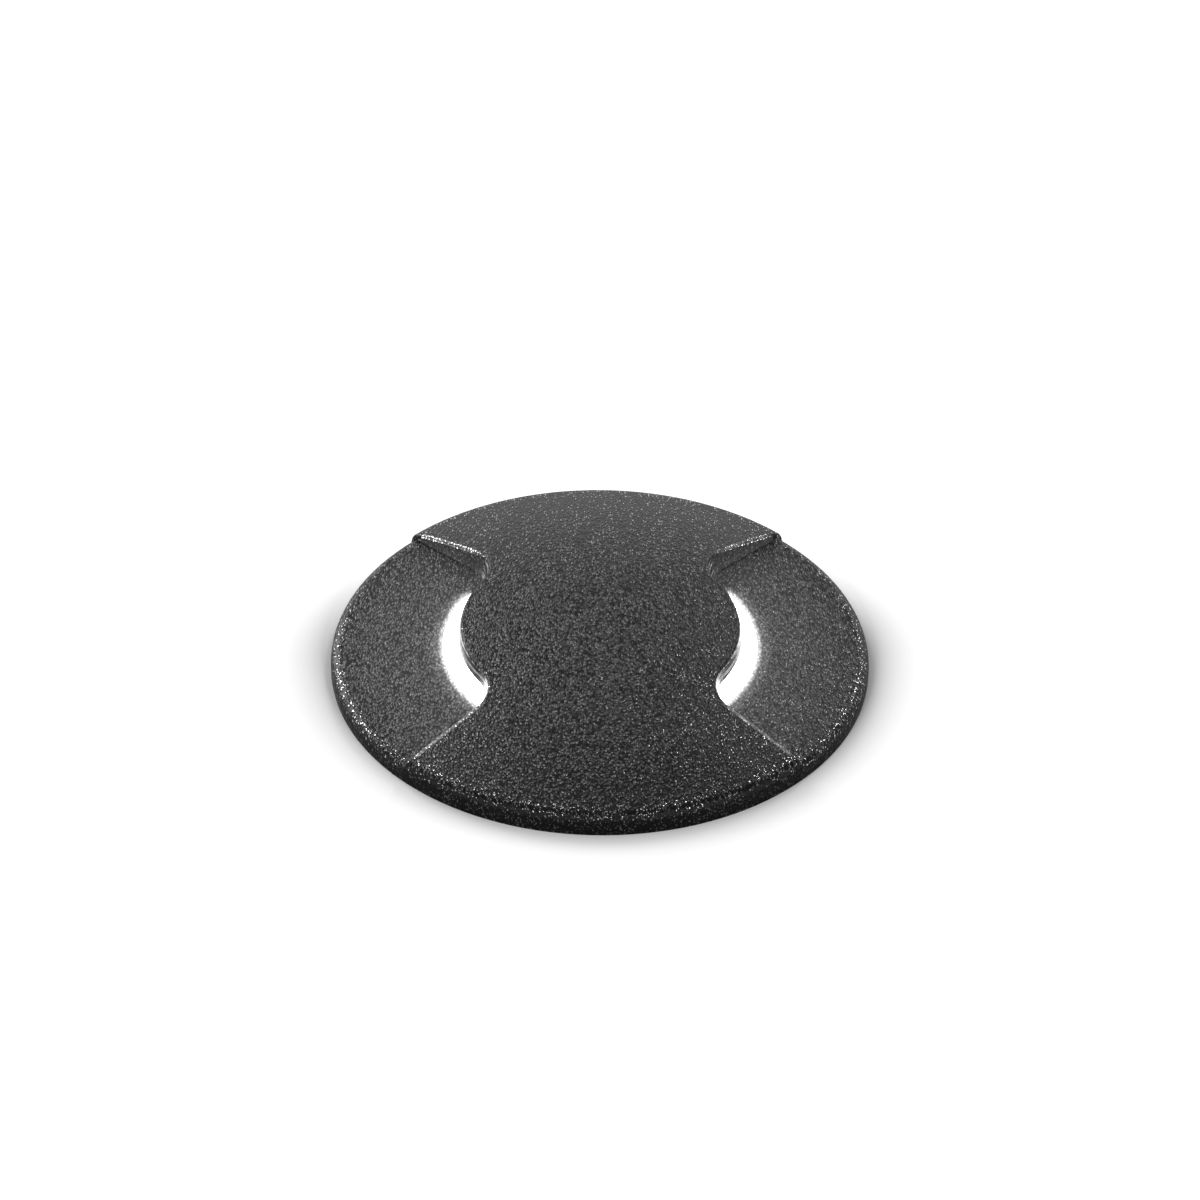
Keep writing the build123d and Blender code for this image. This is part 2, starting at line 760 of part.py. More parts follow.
with BuildPart() as gland_seal:
    with BuildSketch(Plane.XY.offset(stem_bottom - gland_seal_flange)):
        Circle(gland_thread_radius - gland_seal_flange)
    extrude(amount=gland_seal_flange)
    with BuildSketch(Plane.XY.offset(stem_bottom)):
        Circle(gland_bore_radius - fixed_gap)
    extrude(amount=gland_seal_length)
    with Locations((0, 0, stem_bottom + gland_seal_length)):
        Hole(cable_radius + cable_gap)
save(gland_seal, "gland_seal")

with BuildPart() as gland_nut:
    nut_seat = stem_bottom - gland_seal_flange
    nut_bottom = nut_seat - gland_nut_lip
    with BuildSketch(Plane.XY.offset(nut_bottom)):
        RegularPolygon(gland_hex_width / 2, 6, major_radius=False)
    extrude(amount=nut_top - nut_bottom)
    with BuildSketch(Plane.XZ):
        with BuildLine():
            Polyline(
                (gland_hex_width, nut_bottom),
                (gland_hex_width / 2 - gland_nut_round, nut_bottom),
                (gland_hex_width, nut_bottom + gland_hex_width / 2 + gland_nut_round),
                close=True,
            )
        make_face()
    revolve(axis=Axis.Z, mode=Mode.SUBTRACT)
    with Locations((0, 0, nut_top)):
        CounterBoreHole(
            cable_radius + gland_mouth_gap, gland_thread_radius + fixed_gap, nut_top - nut_seat
        )
save(gland_nut, "gland_nut")

# Lamp: shell, driver, heat plate, LED board and front
plate_top = lamp_front - heat_plate_depth
plate_bottom = plate_top - heat_plate_thickness
shell_rim = lamp_front - lamp_crown - lamp_front_edge
board_bottom = hub_bottom + lamp_wall + driver_board_height
shell_bore = lamp_radius - lamp_wall
hub_bore = lamp_hub_radius - lamp_wall

with BuildPart() as lamp_shell:
    with BuildSketch(Plane.XZ):
        with BuildLine():
            Polyline(
                (0, hub_bottom),
                (lamp_hub_radius, hub_bottom),
                (lamp_hub_radius, lamp_back),
                (lamp_radius, lamp_back),
                (lamp_radius, shell_rim),
                (shell_bore, shell_rim),
                (shell_bore, plate_bottom),
                (shell_bore - ledge_width, plate_bottom),
                (shell_bore - ledge_width, lamp_back + lamp_wall),
                (hub_bore, lamp_back + lamp_wall),
                (hub_bore, board_bottom),
                (hub_bore - ledge_width, board_bottom),
                (hub_bore - ledge_width, hub_bottom + lamp_wall),
                (0, hub_bottom + lamp_wall),
                close=True,
            )
        make_face()
    revolve(axis=Axis.Z)
    with Locations((0, 0, lamp_back + lamp_wall)):
        with PolarLocations(pin_distance, 2):
            Hole(pin_radius + fixed_gap)
    with BuildSketch(Plane.XY.offset(lamp_back)):
        with PolarLocations(lamp_radius, flute_count, start_angle=180 / flute_count):
            Circle(flute_radius)
    extrude(amount=flute_height, mode=Mode.SUBTRACT)
save(lamp_shell, "lamp_shell")

with BuildPart() as lamp_pin:
    head_top = pin_head_height - pin_length
    with BuildSketch(Plane.XZ):
        with BuildLine():
            Polyline(
                (0, lamp_wall + pin_rivet_height),
                (pin_head_radius, lamp_wall + pin_rivet_height),
                (pin_head_radius, lamp_wall),
                (pin_radius, lamp_wall),
                (pin_radius, head_top),
                (pin_head_radius, head_top),
                (pin_head_radius, -pin_length),
                (0, -pin_length),
                close=True,
            )
        make_face()
        chamfer(vertices().group_by(Axis.Y)[0].sort_by(Axis.X)[-1], pin_tip_chamfer)
    revolve(axis=Axis.Z)

with BuildPart() as lamp_pins:
    with Locations((0, 0, lamp_back)):
        with PolarLocations(pin_distance, 2):
            add(lamp_pin.part)
save(lamp_pins, "lamp_pins")

with BuildPart() as lamp_driver_board:
    with BuildSketch(Plane.XY.offset(board_bottom)):
        Circle(hub_bore - fixed_gap)
    extrude(amount=driver_board_thickness)
save(lamp_driver_board, "lamp_driver_board")

with BuildPart() as lamp_driver_parts:
    standing = (Align.CENTER, Align.CENTER, Align.MIN)
    with Locations(Plane.XY.offset(board_bottom + driver_board_thickness)):
        with Locations(capacitor_place):
            Cylinder(capacitor_radius, capacitor_height, align=standing)
        with Locations(choke_place):
            Cylinder(choke_radius, choke_height, align=standing)
        with Locations(transformer_place):
            Box(*transformer_size, align=standing)
        with Locations(rectifier_place):
            Box(*rectifier_size, align=standing)
save(lamp_driver_parts, "lamp_driver_parts")

with BuildPart() as lamp_heat_plate:
    with BuildSketch(Plane.XY.offset(plate_bottom)):
        Circle(shell_bore - fixed_gap)
    extrude(amount=heat_plate_thickness)
save(lamp_heat_plate, "lamp_heat_plate")

front_skirt_bore = shell_bore - fixed_gap - lamp_front_wall

with BuildPart() as lamp_led_board:
    with BuildSketch(Plane.XY.offset(plate_top)):
        Circle(front_skirt_bore - led_board_margin)
    extrude(amount=led_board_thickness)
save(lamp_led_board, "lamp_led_board")

with BuildPart() as lamp_leds:
    with BuildSketch(Plane.XY.offset(plate_top + led_board_thickness)):
        for ring, count in ((led_outer_ring, led_outer_count), (led_inner_ring, led_inner_count)):
            with PolarLocations(ring, count):
                Rectangle(led_length, led_width)
    extrude(amount=led_height)
save(lamp_leds, "lamp_leds")

with BuildPart() as lamp_diffuser:
    with BuildSketch(Plane.XZ):
        with BuildLine():
            front_edge = (lamp_radius - lamp_front_margin, shell_rim + lamp_front_edge)
            face_arc = TangentArc((0, lamp_front), front_edge, tangent=(1, 0))
            Polyline(
                face_arc @ 1,
                (lamp_radius - lamp_front_margin, shell_rim),
                (shell_bore - fixed_gap, shell_rim),
                (shell_bore - fixed_gap, plate_top),
                (front_skirt_bore, plate_top),
                (front_skirt_bore, shell_rim + lamp_front_edge - lamp_front_wall),
                (0, lamp_front - lamp_front_wall),
                (0, lamp_front),
            )
        make_face()
    revolve(axis=Axis.Z)
save(lamp_diffuser, "lamp_diffuser")
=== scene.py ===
import json
import math

import bpy
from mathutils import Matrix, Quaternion, Vector


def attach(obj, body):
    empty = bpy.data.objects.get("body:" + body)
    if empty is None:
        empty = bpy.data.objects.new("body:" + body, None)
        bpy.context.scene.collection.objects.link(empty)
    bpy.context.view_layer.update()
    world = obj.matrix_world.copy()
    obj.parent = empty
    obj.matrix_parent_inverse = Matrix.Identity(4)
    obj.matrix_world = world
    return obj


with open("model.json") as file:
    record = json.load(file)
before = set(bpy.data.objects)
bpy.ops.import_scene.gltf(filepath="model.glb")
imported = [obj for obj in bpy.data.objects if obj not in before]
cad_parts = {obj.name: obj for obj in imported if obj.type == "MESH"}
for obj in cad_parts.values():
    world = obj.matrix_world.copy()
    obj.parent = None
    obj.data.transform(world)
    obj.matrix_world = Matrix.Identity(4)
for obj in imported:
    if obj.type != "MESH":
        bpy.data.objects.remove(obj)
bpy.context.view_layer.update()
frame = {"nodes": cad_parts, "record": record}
nodes = frame["nodes"]
mm = 0.001
print("frame loaded,", len(nodes), "nodes")


def deselectAll():
    if bpy.context.object and bpy.context.object.mode != "OBJECT":
        bpy.ops.object.mode_set(mode="OBJECT")
    bpy.ops.object.select_all(action="DESELECT")


def pointFrom(azimuth, elevation, distance):  # azimuth 0 is the viewer's side, 90 is +X
    turn, rise = math.radians(azimuth), math.radians(elevation)
    flat = distance * math.cos(rise)
    return Vector((flat * math.sin(turn), -flat * math.cos(turn), distance * math.sin(rise)))


# node helpers
def link(tree, source, target):
    tree.links.new(source, target)


def fill(socket, tree, value):  # a number, a colour or another node's output
    if isinstance(value, bpy.types.NodeSocket):
        link(tree, value, socket)
    else:
        socket.default_value = value


def calc(tree, operation, *values, clamp=False):
    node = tree.nodes.new("ShaderNodeMath")
    node.operation = operation
    node.use_clamp = clamp
    for socket, value in zip(node.inputs, values):
        fill(socket, tree, value)
    return node.outputs[0]


def vectorCalc(tree, operation, *values):
    node = tree.nodes.new("ShaderNodeVectorMath")
    node.operation = operation
    for socket, value in zip(node.inputs, values):
        fill(socket, tree, value)
    return node.outputs["Value" if operation in {"LENGTH", "DOT_PRODUCT"} else "Vector"]


def remap(tree, value, low, high, first=0.0, last=1.0):
    node = tree.nodes.new("ShaderNodeMapRange")
    node.interpolation_type = "SMOOTHSTEP"
    for socket, number in zip(node.inputs, (value, low, high, first, last)):
        fill(socket, tree, number)
    return node.outputs[0]


def blendColour(tree, share, first, second):
    node = tree.nodes.new("ShaderNodeMix")
    node.data_type = "RGBA"
    for label, value in (("Factor_Float", share), ("A_Color", first), ("B_Color", second)):
        fill(next(socket for socket in node.inputs if socket.identifier == label), tree, value)
    return next(socket for socket in node.outputs if socket.identifier == "Result_Color")


def noise(tree, position, scale, detail=2.0, roughness=0.5, output="Fac"):
    node = tree.nodes.new("ShaderNodeTexNoise")
    values = {"Vector": position, "Scale": scale, "Detail": detail, "Roughness": roughness}
    for label, value in values.items():
        fill(node.inputs[label], tree, value)
    return node.outputs[output]


def startGroup(name, inputs, outputs):
    tree = bpy.data.node_groups.new(name, "ShaderNodeTree")
    for label, value in inputs.items():
        kind = "NodeSocketVector" if value is None else "NodeSocketFloat"
        socket = tree.interface.new_socket(name=label, in_out="INPUT", socket_type=kind)
        if value is not None:
            socket.default_value = value
    for label in outputs:
        tree.interface.new_socket(name=label, in_out="OUTPUT", socket_type="NodeSocketFloat")
    return tree, tree.nodes.new("NodeGroupInput").outputs, tree.nodes.new("NodeGroupOutput").inputs


# pebbled grain of the cover: low pebbles whose crowns catch the light
grainShape = {
    "middle": (0.5, 0.5, 0.5),  # of the noise that makes the outlines ragged
    "pebble": (0.1, 0.8),  # from a pebble's top to its foot, by cell distance
    "toothRatio": 2.7,  # teeth to a pebble
    "catch": (0.25, 0.97, 0.1, 1.25),  # light that a crown catches, by chance
    "crown": (0.06, 0.37),
}


def makePebbleGrain():
    inputs = {"Position": None, "Pebbles": 1800.0, "Ragged": 0.85, "Tooth": 0.1}
    tree, given, made = startGroup("pebbleGrain", inputs, ["Height", "Crowns"])
    wander = noise(tree, given["Position"], given["Pebbles"], detail=1.0, output="Color")
    wander = vectorCalc(tree, "SUBTRACT", wander, grainShape["middle"])
    spread = calc(tree, "DIVIDE", given["Ragged"], given["Pebbles"])
    scaled = tree.nodes.new("ShaderNodeVectorMath")
    scaled.operation = "SCALE"
    link(tree, wander, scaled.inputs[0])
    link(tree, spread, scaled.inputs["Scale"])
    moved = vectorCalc(tree, "ADD", given["Position"], scaled.outputs[0])
    cells = tree.nodes.new("ShaderNodeTexVoronoi")
    link(tree, moved, cells.inputs["Vector"])
    link(tree, given["Pebbles"], cells.inputs["Scale"])
    pebble = remap(tree, cells.outputs["Distance"], *grainShape["pebble"], 1.0, 0.0)
    teeth = calc(tree, "MULTIPLY", given["Pebbles"], grainShape["toothRatio"])
    tooth = noise(tree, given["Position"], teeth, detail=1.0)
    link(tree, calc(tree, "MULTIPLY_ADD", tooth, given["Tooth"], pebble), made["Height"])
    chance = tree.nodes.new("ShaderNodeSeparateColor")
    link(tree, cells.outputs["Color"], chance.inputs[0])
    catch = remap(tree, chance.outputs[0], *grainShape["catch"])
    crown = remap(tree, cells.outputs["Distance"], *grainShape["crown"], 1.0, 0.0)
    link(tree, calc(tree, "MULTIPLY", crown, catch), made["Crowns"])
    return tree


# fine skin of a satin moulding: faint texture, flow shade and uneven gloss
skinShape = {
    "shade": (0.3, 0.7),
    "glossRatio": 4.0,  # gloss patches to a flow cloud
    "gloss": (0.35, 0.7),
}


def makeMouldedSkin():
    inputs = {"Position": None, "Fineness": 2500.0, "Flow": 30.0}
    tree, given, made = startGroup("mouldedSkin", inputs, ["Height", "Gloss", "Shade"])
    texture = noise(tree, given["Position"], given["Fineness"], detail=2.0, roughness=0.6)
    link(tree, texture, made["Height"])
    cloud = noise(tree, given["Position"], given["Flow"], detail=4.0, roughness=0.6)
    link(tree, remap(tree, cloud, *skinShape["shade"]), made["Shade"])
    patches = calc(tree, "MULTIPLY", given["Flow"], skinShape["glossRatio"])
    patch = noise(tree, given["Position"], patches, detail=3.0, roughness=0.65)
    link(tree, remap(tree, patch, *skinShape["gloss"]), made["Gloss"])
    return tree


# scuffs and dust from handling and from the ground
scuffShape = {
    "stretch": (0.25, 0.25, 6.0),
    "areaRatio": 0.2,  # scuffed areas to a scratch
    "speckRatio": 9.0,
    "stroke": (0.58, 0.72),
    "strokeArea": (0.45, 0.65),
    "speck": (0.5, 0.75),
    "speckArea": (0.3, 0.7),
}


def makeScuffs():
    inputs = {"Position": None, "Scratches": 180.0, "Amount": 0.4}
    tree, given, made = startGroup("scuffs", inputs, ["Scuff", "Dust"])
    stretched = vectorCalc(tree, "MULTIPLY", given["Position"], scuffShape["stretch"])
    stroke = noise(tree, stretched, given["Scratches"], detail=3.0, roughness=0.7)
    areas = calc(tree, "MULTIPLY", given["Scratches"], scuffShape["areaRatio"])
    area = noise(tree, given["Position"], areas, detail=2.0)
    stroke = remap(tree, stroke, *scuffShape["stroke"])
    lines = calc(tree, "MULTIPLY", stroke, remap(tree, area, *scuffShape["strokeArea"]))
    link(tree, calc(tree, "MULTIPLY", lines, given["Amount"]), made["Scuff"])
    specks = calc(tree, "MULTIPLY", given["Scratches"], scuffShape["speckRatio"])
    speck = noise(tree, given["Position"], specks, detail=4.0, roughness=0.75)
    speck = remap(tree, speck, *scuffShape["speck"])
    dusty = calc(tree, "MULTIPLY", speck, remap(tree, area, *scuffShape["speckArea"]))
    link(tree, calc(tree, "MULTIPLY", dusty, given["Amount"]), made["Dust"])
    return tree


# dulled patches and drawing lines on bare metal
tarnishShape = {
    "dull": (0.4, 0.68),
    "stretch": (1.0, 1.0, 0.08),
}


def makeTarnish():
    inputs = {"Position": None, "Patches": 220.0, "Lines": 4000.0}
    tree, given, made = startGroup("tarnish", inputs, ["Dull", "Height"])
    patch = noise(tree, given["Position"], given["Patches"], detail=5.0, roughness=0.65)
    link(tree, remap(tree, patch, *tarnishShape["dull"]), made["Dull"])
    drawn = vectorCalc(tree, "MULTIPLY", given["Position"], tarnishShape["stretch"])
    link(tree, noise(tree, drawn, given["Lines"], detail=2.0), made["Height"])
    return tree


pebbleGrain = makePebbleGrain()
mouldedSkin = makeMouldedSkin()
scuffs = makeScuffs()
tarnish = makeTarnish()
print("effect groups made")


def startMaterial(name, **settings):
    material = bpy.data.materials.new(name)
    material.use_nodes = True
    tree = material.node_tree
    shader = tree.nodes["Principled BSDF"]
    for label, value in settings.items():
        socket = shader.inputs[label.replace("_", " ")]
        socket.default_value = (*value, 1.0) if isinstance(value, tuple) else value
    return material, tree, shader, tree.nodes.new("ShaderNodeTexCoord").outputs["Object"]


def useGroup(tree, group, position, **values):
    node = tree.nodes.new("ShaderNodeGroup")
    node.node_tree = group
    link(tree, position, node.inputs["Position"])
    for label, value in values.items():
        node.inputs[label].default_value = value
    return node.outputs


def addBump(tree, shader, height, distance):
    bump = tree.nodes.new("ShaderNodeBump")
    bump.inputs["Distance"].default_value = distance
    bump.inputs["Strength"].default_value = 1.0
    link(tree, height, bump.inputs["Height"])
    link(tree, bump.outputs["Normal"], shader.inputs["Normal"])


# the opal's band of painted shade at a window's far end, angles from the X axis; the painted glow beside
# the window fades over the first two
windowEnd = [math.radians(angle) for angle in (28, 36, 46, 52)]
coverLook = {
    "colour": (0.006, 0.006, 0.0062),
    "crownColour": (0.52, 0.52, 0.52),
    "pebbles": 1800.0,  # per metre
    "stretch": (1.2, 0.6, 1.0),
    "backStretch": 1.25,  # the grain is longer towards the back, per metre
    "ragged": 0.85,
    "tooth": 0.1,
    "depth": 0.085,  # mm
    "gloss": (0.3, 0.12),  # roughness between and on the crowns
    "top": 12.5 * mm,
    "domeRadius": 237.6 * mm,
    "sill": (35.0 * mm, 4.9 * mm),  # radius and level of the pocket floor's inner edge
    "fall": 0.048,  # slope of the pocket floor
    "rim": 57.0 * mm,
    "smooth": (  # inside faces without grain: radius, levels
        (35.4 * mm, 4.0 * mm, 4.5 * mm),
        (55.2 * mm, 1.5 * mm, 2.1 * mm),
    ),
    "wallTop": (0.2 * mm, 0.9 * mm),  # depth below the dome where a pocket's wall starts
    "wallFoot": (0.1 * mm, 0.5 * mm),  # height over the pocket floor where it ends
    "sideWall": 2.0 * mm,  # from the wall over the window to the side walls
    "wallGrain": (0.1, 1.0),  # share of the grain on the wall over the window and on the side walls
    # painted glow on the side walls of the pockets
    "paintedWallGlow": 0.038,
    "halo": ((36.3 * mm, 0.8), (39.0 * mm, 0.14)),  # painted glow beside the window: reach, strength
    "paintedGlow": (66.0 * mm, 0.042),  # painted glow over the whole pocket
    "spillTop": (0.8 * mm, 1.2 * mm),  # depth below the dome where that painted glow starts
    "spillBand": (-0.9 * mm, -0.6 * mm, 0.3 * mm, 2.5 * mm),  # heights over the pocket floor
    "spillSide": (-0.5 * mm, 0.5 * mm),  # distance into the pocket
    "spillEnd": (56.5 * mm, 59.0 * mm),
    "spillGrain": (0.15, 1.0, 0.7, 1.35),  # the pebbles break up that painted glow: heights, shares
    "paintedWallStreaks": (2200.0, 0.45, 0.65, 0.4),  # painted reflection of the window in the wall over it
    "streakStretch": (0.05, 0.05, 1.0),
    "pocketTurn": math.radians(45),  # half angle of a pocket
    "pocketDraft": math.radians(14),
    "pocketLevel": 7.5 * mm,
    "softEdge": (-1.05 * mm, -0.1 * mm, 0.3),  # from, to and depth (mm) of the eased pocket edges
    "edgeDepth": (0.2 * mm, 0.6 * mm),  # below the dome
    "edgeStart": (37.0 * mm, 42.0 * mm),
    "edgeLine": (-1.05 * mm, -0.735 * mm, 0.2 * mm, 0.5 * mm),  # polished band along those edges
    "edgePolish": (0.3, 0.9, 0.15, 0.85),  # by the pebbles' height
    "rimEdge": (56.8 * mm, 57.6 * mm, 59.2 * mm, 59.9 * mm),
    "rimPolish": 4.5,
}


def band(tree, value, start, full, fade, end):
    return calc(tree, "MULTIPLY", remap(tree, value, start, full), remap(tree, value, fade, end, 1.0, 0.0))


def pocketSide(tree, axes):  # distance into a pocket from its side walls
    turn, draft = coverLook["pocketTurn"], coverLook["pocketDraft"]
    across = calc(tree, "MULTIPLY", calc(tree, "ABSOLUTE", axes["X"]), math.sin(turn) * math.cos(draft))
    along = calc(tree, "MULTIPLY", calc(tree, "ABSOLUTE", axes["Y"]), math.cos(turn) * math.cos(draft))
    height = calc(tree, "SUBTRACT", axes["Z"], coverLook["pocketLevel"])
    lift = calc(tree, "MULTIPLY", height, math.sin(draft))
    return calc(tree, "ADD", calc(tree, "SUBTRACT", across, along), lift)


def coverMasks(tree, place):
    split = tree.nodes.new("ShaderNodeSeparateXYZ")
    link(tree, place, split.inputs[0])
    axes = split.outputs
    radius = vectorCalc(tree, "LENGTH", vectorCalc(tree, "MULTIPLY", place, (1, 1, 0)))
    ball = coverLook["domeRadius"]
    bulge = calc(tree, "SQRT", calc(tree, "SUBTRACT", ball ** 2, calc(tree, "MULTIPLY", radius, radius)))
    below = calc(tree, "SUBTRACT", calc(tree, "ADD", bulge, coverLook["top"] - ball), axes["Z"])
    sillRadius, sillLevel = coverLook["sill"]
    drop = calc(tree, "MULTIPLY", calc(tree, "SUBTRACT", radius, sillRadius), coverLook["fall"])
    above = calc(tree, "ADD", calc(tree, "SUBTRACT", axes["Z"], sillLevel), drop)
    inside = calc(tree, "LESS_THAN", radius, coverLook["rim"])
    wallTop = remap(tree, below, *coverLook["wallTop"])
    wall = calc(tree, "MULTIPLY", wallTop, remap(tree, above, *coverLook["wallFoot"]))
    wall = calc(tree, "MULTIPLY", wall, inside)
    eased = calc(tree, "MULTIPLY", remap(tree, below, *coverLook["edgeDepth"], 1.0, 0.0), inside)
    eased = calc(tree, "MULTIPLY", eased, remap(tree, radius, *coverLook["edgeStart"]))
    side = pocketSide(tree, axes)
    angle = calc(tree, "ARCTAN2", axes["Y"], calc(tree, "ABSOLUTE", axes["X"]))
    besideWindow = remap(tree, angle, *windowEnd[:2], 1.0, 0.0)
    # painted glow: emission beside the windows and over the pocket floors, in the cover's own finish
    reach, strength = coverLook["paintedGlow"]
    paintedGlow = remap(tree, radius, sillRadius, reach, strength, 0.0)
    for reach, strength in coverLook["halo"]:
        halo = remap(tree, radius, sillRadius, reach, strength, 0.0)
        paintedGlow = calc(tree, "MULTIPLY_ADD", halo, besideWindow, paintedGlow)
    spillTop = remap(tree, below, *coverLook["spillTop"])
    floor = calc(tree, "MULTIPLY", spillTop, band(tree, above, *coverLook["spillBand"]))
    floor = calc(tree, "MULTIPLY", floor, remap(tree, radius, *coverLook["spillEnd"], 1.0, 0.0))
    floor = calc(tree, "MULTIPLY", floor, remap(tree, side, *coverLook["spillSide"]))
    # painted reflection streaks on the wall over the window, painted glow on the side walls
    density, low, high, strength = coverLook["paintedWallStreaks"]
    drawn = vectorCalc(tree, "MULTIPLY", place, coverLook["streakStretch"])
    paintedWallLight = remap(tree, noise(tree, drawn, density), low, high, 0, strength)
    sideWall = remap(tree, radius, sillRadius, sillRadius + coverLook["sideWall"])
    paintedWallLight = remap(tree, sideWall, 0, 1, paintedWallLight, coverLook["paintedWallGlow"])
    easeStart, easeEnd, easeDepth = coverLook["softEdge"]
    grain = remap(tree, wall, 0, 1, 1.0, remap(tree, sideWall, 0, 1, *coverLook["wallGrain"]))
    for reach, bottom, top in coverLook["smooth"]:
        under = remap(tree, axes["Z"], bottom, top, 1.0, 0.0)
        hidden = calc(tree, "MULTIPLY", calc(tree, "LESS_THAN", radius, reach), under)
        grain = calc(tree, "MULTIPLY", grain, calc(tree, "SUBTRACT", 1.0, hidden))
    return {
        "grain": grain,
        "ease": calc(tree, "MULTIPLY", remap(tree, side, easeStart, easeEnd, 0.0, easeDepth), eased),
        "edge": calc(tree, "MULTIPLY", band(tree, side, *coverLook["edgeLine"]), eased),
        "rim": band(tree, radius, *coverLook["rimEdge"]),
        "paintedGlow": calc(tree, "MULTIPLY_ADD", paintedGlow, floor, calc(tree, "MULTIPLY", paintedWallLight, wall)),
    }


def pebbledResin():
    material, tree, shader, place = startMaterial("pebbledResin", IOR=1.33, Emission_Strength=1.0)
    along = vectorCalc(tree, "DOT_PRODUCT", place, (0, 1, 0))
    longer = calc(tree, "MULTIPLY", calc(tree, "MULTIPLY", along, along), coverLook["backStretch"])
    offset = tree.nodes.new("ShaderNodeCombineXYZ")
    link(tree, longer, offset.inputs["Y"])
    drawn = vectorCalc(tree, "MULTIPLY", place, coverLook["stretch"])
    drawn = vectorCalc(tree, "SUBTRACT", drawn, offset.outputs[0])
    pattern = {"Pebbles": coverLook["pebbles"], "Ragged": coverLook["ragged"], "Tooth": coverLook["tooth"]}
    grain = useGroup(tree, pebbleGrain, drawn, **pattern)
    masks = coverMasks(tree, place)
    boost = calc(tree, "MULTIPLY_ADD", masks["rim"], coverLook["rimPolish"], 1.0)
    crowns = calc(tree, "MULTIPLY", calc(tree, "MULTIPLY", grain["Crowns"], masks["grain"]), boost)
    polish = remap(tree, grain["Height"], *coverLook["edgePolish"])
    crowns = calc(tree, "MULTIPLY_ADD", masks["edge"], polish, crowns, clamp=True)
    dark, light = (*coverLook["colour"], 1), (*coverLook["crownColour"], 1)
    link(tree, blendColour(tree, crowns, dark, light), shader.inputs["Base Color"])
    link(tree, remap(tree, crowns, 0, 1, *coverLook["gloss"]), shader.inputs["Roughness"])
    link(tree, crowns, shader.inputs["Metallic"])  # crowns mirror more than the rest
    # painted glow and painted reflection from the masks, fed to the emission
    share = remap(tree, grain["Height"], *coverLook["spillGrain"])
    paintedGlow = calc(tree, "MULTIPLY", masks["paintedGlow"], share, clamp=True)
    link(tree, blendColour(tree, paintedGlow, (0, 0, 0, 1), (1, 1, 1, 1)), shader.inputs["Emission Color"])
    relief = calc(tree, "MULTIPLY", grain["Height"], masks["grain"])
    relief = calc(tree, "MULTIPLY", relief, coverLook["depth"])
    addBump(tree, shader, calc(tree, "SUBTRACT", relief, masks["ease"]), mm)
    return material


plasticLook = {
    "glossSpread": (-0.05, 0.06),  # round a plastic's own roughness
    "dust": (0.3, 0.29, 0.27),
    "scuff": 0.25,
}


def mouldedPlastic(name, colour, shade, roughness, fineness=2500.0, depth=0.01 * mm, worn=0.0):
    material, tree, shader, place = startMaterial(name, IOR=1.48)
    skin = useGroup(tree, mouldedSkin, place, Fineness=fineness)
    base = blendColour(tree, skin["Shade"], (*colour, 1), (*shade, 1))
    less, more = plasticLook["glossSpread"]
    rough = remap(tree, skin["Gloss"], 0, 1, roughness + less, roughness + more)
    if worn:
        marks = useGroup(tree, scuffs, place, Amount=worn)
        dust = (*plasticLook["dust"], 1)
        base = blendColour(tree, marks["Dust"], base, dust)
        rough = calc(tree, "MULTIPLY_ADD", marks["Scuff"], plasticLook["scuff"], rough)
        base = blendColour(tree, calc(tree, "MULTIPLY", marks["Scuff"], plasticLook["scuff"]), base, dust)
    link(tree, base, shader.inputs["Base Color"])
    link(tree, rough, shader.inputs["Roughness"])
    addBump(tree, shader, skin["Height"], depth)
    return material


def bareMetal(name, colour, dull, roughness, dulled=0.18, depth=0.004 * mm):
    material, tree, shader, place = startMaterial(name, Metallic=1.0)
    worn = useGroup(tree, tarnish, place)
    link(tree, blendColour(tree, worn["Dull"], (*colour, 1), (*dull, 1)), shader.inputs["Base Color"])
    link(tree, remap(tree, worn["Dull"], 0, 1, roughness, roughness + dulled), shader.inputs["Roughness"])
    addBump(tree, shader, worn["Height"], depth)
    return material


opalLook = {
    "colour": (0.93, 0.93, 0.91),
    "glow": (0.99, 0.985, 0.97),
    # colour of the painted shade at a window's far end
    "paintedShade": (0.05, 0.05, 0.05),
    "skin": {"Fineness": 1500.0, "Flow": 60.0},
    "gloss": (0.3, 0.4),
    "depth": 0.005 * mm,
}


def litOpal(name, strength, paintedShadeEnd=False):
    material, tree, shader, place = startMaterial(name, IOR=1.49, Emission_Strength=strength)
    skin = useGroup(tree, mouldedSkin, place, **opalLook["skin"])
    glow = (*opalLook["glow"], 1)
    base = blendColour(tree, skin["Shade"], (*opalLook["colour"], 1), glow)
    lit = blendColour(tree, skin["Shade"], (1, 1, 1, 1), glow)
    # painted shade: a dark colour and no glow at the window's far end
    if paintedShadeEnd:
        split = tree.nodes.new("ShaderNodeSeparateXYZ")
        link(tree, place, split.inputs[0])
        angle = calc(tree, "ARCTAN2", split.outputs["Y"], calc(tree, "ABSOLUTE", split.outputs["X"]))
        paintedShade = band(tree, angle, *windowEnd)
        base = blendColour(tree, paintedShade, base, (*opalLook["paintedShade"], 1))
        lit = blendColour(tree, paintedShade, lit, (0, 0, 0, 1))
    link(tree, base, shader.inputs["Base Color"])
    link(tree, lit, shader.inputs["Emission Color"])
    link(tree, remap(tree, skin["Gloss"], 0, 1, *opalLook["gloss"]), shader.inputs["Roughness"])
    addBump(tree, shader, skin["Height"], opalLook["depth"])
    return material


